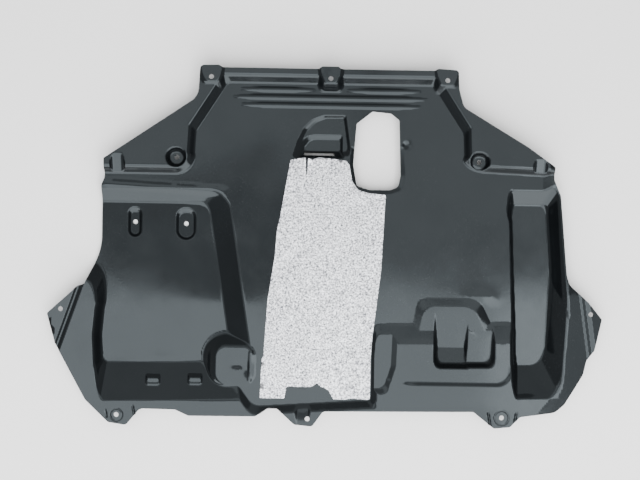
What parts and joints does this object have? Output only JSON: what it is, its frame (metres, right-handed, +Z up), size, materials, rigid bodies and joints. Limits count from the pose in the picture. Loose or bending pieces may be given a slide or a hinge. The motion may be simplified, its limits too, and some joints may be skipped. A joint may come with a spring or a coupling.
{
  "type": "engine splash shield",
  "caption": "Vacuum-formed black plastic under-engine splash shield with tubs, fixing tabs, an access cut-out and a heat reflector.",
  "frame": {"origin": "middle of the outline, at the height of the lowest underside", "axes": "+X to the right, +Y to the front of the vehicle (the edge with three fixing pads), +Z up towards the engine"},
  "size_m": [1.0233, 0.6644, 0.046],
  "materials": {
    "shield_plastic": "satin",
    "reflector_foil": "satin"
  },
  "bodies": {
    "root": {"shield_panel": "shield_plastic", "heat_reflector": "reflector_foil"}
  },
  "joints": []
}
